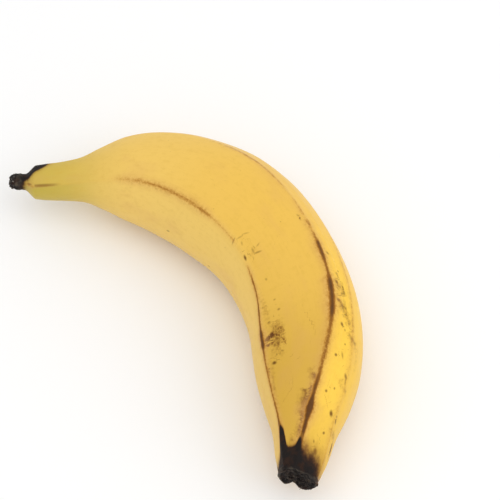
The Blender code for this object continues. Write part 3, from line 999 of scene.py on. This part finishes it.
# Lower than wax's own 1.44, so that the white room veils the browns less.
WAX_IOR = 1.3
browned = most(spots, line)
waxy = WAX_ROUGHNESS + (mottle - 0.5) * 0.12 + browned * 0.15
height = fibres * 0.12 + mottle * 0.08 - line * 0.25 + blackened * dried["Height"] * 1.4
feed_shader(tree, finished, blend_to(waxy, dried["Roughness"], blackened), height, depth=0.3 * MM, strength=0.5)
tree.nodes["Principled BSDF"].inputs["IOR"].default_value = WAX_IOR
print(len(tree.nodes), "nodes in the peel's material")

# %% [markdown]
# ## Growing the skin
# The modifier is set up before anything is measured: its inputs are given by their identifiers. The skin
# is grown twice. Once without its relief, to see where its box lies, so that it can be moved on to the
# solid's, and once more in full. The grown skin is then a plain mesh that stands for the solid.


# %% A function that grows a piece
def grow(name, source, tree, **values):
    """The mesh that a node tree makes from a source mesh, with these values for its inputs."""
    carrier = add_object(name, source)
    modifier = carrier.modifiers.new("grow", "NODES")
    modifier.node_group = tree
    sockets = {item.name: item.identifier for item in tree.interface.items_tree if item.in_out == "INPUT"}
    for title, value in values.items():
        modifier[sockets[title.replace("_", " ")]] = value
    mesh = bpy.data.meshes.new_from_object(carrier.evaluated_get(bpy.context.evaluated_depsgraph_get()))
    bpy.data.objects.remove(carrier)
    used = [material for material in mesh.materials if material]
    mesh.materials.clear()
    for material in used:
        mesh.materials.append(material)
    mesh.polygons.foreach_set("material_index", [0] * len(mesh.polygons))
    return mesh


def points_of(mesh):
    """The mesh's points, as rows of x, y and z."""
    values = np.empty(len(mesh.vertices) * 3)
    mesh.vertices.foreach_get("co", values)
    return values.reshape(-1, 3)


# %% Grow the skin, and find how far it has to move to lie on the solid
cage = make_cage()
facts = {"Flecks": flecks, "Bruises": bruises, "Stains": stains, "Skin_Material": peel_material}
plain = points_of(grow("plain skin", cage, shape_tree, Relief=0.0, **facts))
low, high = plain.min(axis=0), plain.max(axis=0)
# The flower end and the bow's outer side are the same in both; only the torn rim is finer here.
shift = np.array([cad_low[0] / MM - low[0], cad_high[1] / MM - high[1], 0.0])
skin_mesh = grow("peel", cage, shape_tree, Relief=1.0, **facts)
for marks_object in (flecks, bruises, stains):
    bpy.data.objects.remove(marks_object)
print("smooth skin", (high - low).round(2), "mm, to be moved by", shift.round(2))

# %% [markdown]
# ## Crumbs on the flower scar
# The flower withers on the tip and leaves a crust of small grey and black crumbs. They could be modelled
# one by one; a node tree scatters them over the scar, each turned and sized by chance with a fixed seed,
# and sunk halfway so that none floats. A crumb is a ball of only twenty faces, which noise makes uneven.

# %% The crumbs' node tree
crumb_tree, given, give_out = start_tree(
    "scattered crumbs",
    "Geometry",
    {
        "Skin": "Geometry",
        "Up To": 2.6,
        "Crumbs per Area": 1.5,
        "Crumb Radius": 0.42,
        "Unevenness": 0.5,
        "Seed": 11,
        "Crumb Material": "Material",
    },
    {"Crumbs": "Geometry"},
)


def chance_between(low, high, seed, kind="FLOAT_VECTOR"):
    return add_node(seed.tree, "FunctionNodeRandomValue", low, high, None, seed, data_type=kind)


on_scar = below(read_attribute(crumb_tree, "along"), given["Up To"])
spots_on_scar = shape_node(
    "DistributePointsOnFaces", given["Skin"], on_scar, given["Crumbs per Area"], given["Seed"]
)
ball = shape_node("MeshIcoSphere", given["Crumb Radius"], 1)
any_way = chance_between((0.0, 0.0, 0.0), (TURN, TURN, TURN), given["Seed"] + 1)
own_scale = chance_between((0.5, 0.5, 0.35), (1.35, 1.1, 1.0), given["Seed"] + 2)
crumbs = shape_node("InstanceOnPoints", spots_on_scar, True, ball, False, None, any_way, own_scale)
crumbs = shape_node("RealizeInstances", crumbs)
here = add_node(crumb_tree, "GeometryNodeInputPosition")
bumpy = (noise(here, 0.7, 2.0, 0.5, 1.9) - 0.5) * given["Unevenness"]
crumbs = shape_node("SetPosition", crumbs, True, None, add_node(crumb_tree, "GeometryNodeInputNormal") * bumpy)
give_out(Crumbs=finished_piece(crumbs, given["Crumb Material"]))
print(len(crumb_tree.nodes), "nodes scatter the crumbs")

# %% [markdown]
# ## Fibres on the torn stalk
# A stalk is full of tough strands, and where it was torn off, their ends stand out of the face. Each is a
# short line, bent by noise and given a round section that thins towards its tip. Hair would look the same
# in a render, but it is dropped when the model is exported, so the strands are real tubes.

# %% The fibres' node tree
fibre_tree, given, give_out = start_tree(
    "torn fibres",
    "Geometry",
    {
        "Skin": "Geometry",
        "From": BOW_LENGTH + 3.2,
        "Fibres per Area": 0.9,
        "Fibre Length": 1.8,
        "Fibre Radius": 0.12,
        "Bend": 2.6,
        "Seed": 5,
        "Fibre Material": "Material",
    },
    {"Fibres": "Geometry"},
)
# Points along a strand, corners round it, and how far it leans from straight up, in radians.
STRAND_POINTS = 6
STRAND_SIDES = 5
LEAN = 1.3
on_torn_face = below(given["From"], read_attribute(fibre_tree, "along"))
roots = shape_node(
    "DistributePointsOnFaces", given["Skin"], on_torn_face, given["Fibres per Area"], given["Seed"]
)
upright = Wire(roots.socket.node.outputs["Rotation"])
tip = vector(0.0, 0.0, given["Fibre Length"])
strand = shape_node("CurvePrimitiveLine", tip * -0.25, tip)
strand = shape_node("ResampleCurve", strand, True, STRAND_POINTS)
tilt = chance_between((-LEAN, -LEAN, 0.0), (LEAN, LEAN, TURN), given["Seed"] + 1)
leaning = add_node(fibre_tree, "FunctionNodeRotateRotation", upright, tilt, rotation_space="LOCAL")
own_length = chance_between(0.5, 1.4, given["Seed"] + 2, "FLOAT")
strands = shape_node("InstanceOnPoints", roots, True, strand, False, None, leaning, own_length)
strands = shape_node("RealizeInstances", strands)
up_strand = add_node(fibre_tree, "GeometryNodeSplineParameter", output="Factor")
here = add_node(fibre_tree, "GeometryNodeInputPosition")
sway = noise(here, 1.6, 1.0, 0.5, 3.7, output="Color") - (0.5, 0.5, 0.5)
strands = shape_node("SetPosition", strands, True, None, sway * (up_strand * given["Bend"]))
strands = shape_node("SetCurveRadius", strands, True, 1 - up_strand * 0.7)
section = shape_node("CurvePrimitiveCircle", STRAND_SIDES, given["Fibre Radius"])
tubes = shape_node("CurveToMesh", strands, section)
tubes.socket.node.inputs["Fill Caps"].default_value = True
give_out(Fibres=finished_piece(tubes, given["Fibre Material"]))
print(len(fibre_tree.nodes), "nodes grow the fibres")


# %% A material for dried crumbs and one for dried fibres
def dried_material(name, pale, share, grain):
    """Dried skin with paler patches, on the piece's own place."""
    made, nodes = start_material(name)
    place = add_node(nodes, "ShaderNodeTexCoord", output="Object") * (1 / MM)
    patches = noise(place, 1.2, 2.0, 0.6, 6.6)
    dried = use_group(nodes, dried_skin, Place=place, Relief=patches * 1.2 - 0.3, Depth=3.0, Grain=grain)
    tone = paint(dried["Colour"], (pale, ease(patches, 0.46, 0.66) * share))
    feed_shader(nodes, tone, dried["Roughness"], dried["Height"], depth=0.2 * MM, strength=0.6)
    return made


CRUMB_GREY = colour(150, 142, 130)
FIBRE_BROWN = colour(84, 70, 58)
crumb_material = dried_material("dried flower", CRUMB_GREY, 0.75, 0.35)
fibre_material = dried_material("torn fibre", FIBRE_BROWN, 0.8, 0.3)
print("materials of the two ends:", crumb_material.name, "and", fibre_material.name)

# %% Grow both on the skin, then put every piece in its place
crumbs_mesh = grow("flower_crumbs", skin_mesh.copy(), crumb_tree, Crumb_Material=crumb_material)
fibres_mesh = grow("stalk_fibres", skin_mesh.copy(), fibre_tree, Fibre_Material=fibre_material)


def put_in_place(name, mesh):
    """Moves a grown mesh on to the solid, in metres, and makes it a piece that belongs to the fruit."""
    mesh.vertices.foreach_set("co", ((points_of(mesh) + shift) * MM).ravel())
    mesh.update()
    piece = add_object(name, mesh)
    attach(piece, "root")
    print(name, len(mesh.vertices), "points,", sum(len(face.vertices) - 2 for face in mesh.polygons), "triangles")
    return piece


peel = put_in_place("peel", skin_mesh)
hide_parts("plantain")
put_in_place("flower_crumbs", crumbs_mesh)
put_in_place("stalk_fibres", fibres_mesh)

# %% [markdown]
# ## The studio
# The fruit lies on a white floor in a white room, in the light of large soft lamps. Large lamps make soft
# shadows and broad, gentle highlights, which is how a waxy skin shows its curves.

# %% Floor
HALF_FLOOR = 3.0
FLOOR_WHITE = (0.97, 0.97, 0.97, 1.0)
FLOOR_ROUGHNESS = 0.9
floor_mesh = bpy.data.meshes.new("floor")
floor_corners = [(x * HALF_FLOOR, y * HALF_FLOOR, 0) for x, y in ((-1, -1), (1, -1), (1, 1), (-1, 1))]
floor_mesh.from_pydata(floor_corners, [], [(0, 1, 2, 3)])
floor = add_object("floor", floor_mesh)
floor_material, floor_nodes = start_material("white floor")
floor_nodes.nodes["Principled BSDF"].inputs["Base Color"].default_value = FLOOR_WHITE
floor_nodes.nodes["Principled BSDF"].inputs["Roughness"].default_value = FLOOR_ROUGHNESS
floor_mesh.materials.append(floor_material)
floor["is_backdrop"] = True
print("the floor is", 2 * HALF_FLOOR, "m a side")

# %% Room light and lamps
ROOM_WHITE = (1.0, 1.0, 1.0, 1.0)
ROOM_STRENGTH = 0.82
world = bpy.data.worlds.new("white room")
world.use_nodes = True
world.node_tree.nodes["Background"].inputs["Color"].default_value = ROOM_WHITE
world.node_tree.nodes["Background"].inputs["Strength"].default_value = ROOM_STRENGTH
bpy.context.scene.world = world
bpy.context.scene.view_settings.view_transform = "Standard"
bpy.context.scene.view_settings.look = "None"


def stand(name, data, aim, azimuth, elevation, distance):
    """Stands a lamp or a camera so that it faces its aim. At azimuth 0 it looks along +Y."""
    a, e = math.radians(azimuth), math.radians(elevation)
    back = Vector((math.sin(a) * math.cos(e), -math.cos(a) * math.cos(e), math.sin(e)))
    made = add_object(name, data)
    made.location = aim + back * distance
    made.rotation_euler = (-back).to_track_quat("-Z", "Y").to_euler()
    return made


def lamp(name, azimuth, elevation, distance, size, power):
    """A square soft lamp that faces the fruit."""
    light = bpy.data.lights.new(name, "AREA")
    light.shape = "SQUARE"
    light.size = size
    light.energy = power
    stand(name, light, Vector(), azimuth, elevation, distance)
    print(name, "of", size, "m a side and", power, "W")


lamp("right lamp", azimuth=125.0, elevation=40.0, distance=1.5, size=1.2, power=4.4)
lamp("top lamp", azimuth=20.0, elevation=80.0, distance=1.6, size=1.4, power=4.2)

# %% [markdown]
# ## The camera
# The camera looks from where the fruit's end face and outline say it stood. It keeps its distance, so
# that the perspective is the same, and the long lens frames the fruit.

# %% Camera
CAMERA_AIM = Vector((-0.0006, 0.01228, 0.02475))
CAMERA_LENS = 163.64
camera_data = bpy.data.cameras.new("camera")
camera_data.lens = CAMERA_LENS
camera_data.clip_start = 0.01
camera_data.clip_end = 20.0
camera = stand("camera", camera_data, CAMERA_AIM, azimuth=49.7, elevation=58.85, distance=1.0)
bpy.context.scene.camera = camera
print("the camera stands at", [round(value, 3) for value in camera.location], "m")

# %% Measure the box of the visible pieces, and finish
low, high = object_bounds()
print("visual box, in mm:", [round((b - a) / MM, 2) for a, b in zip(low, high)])
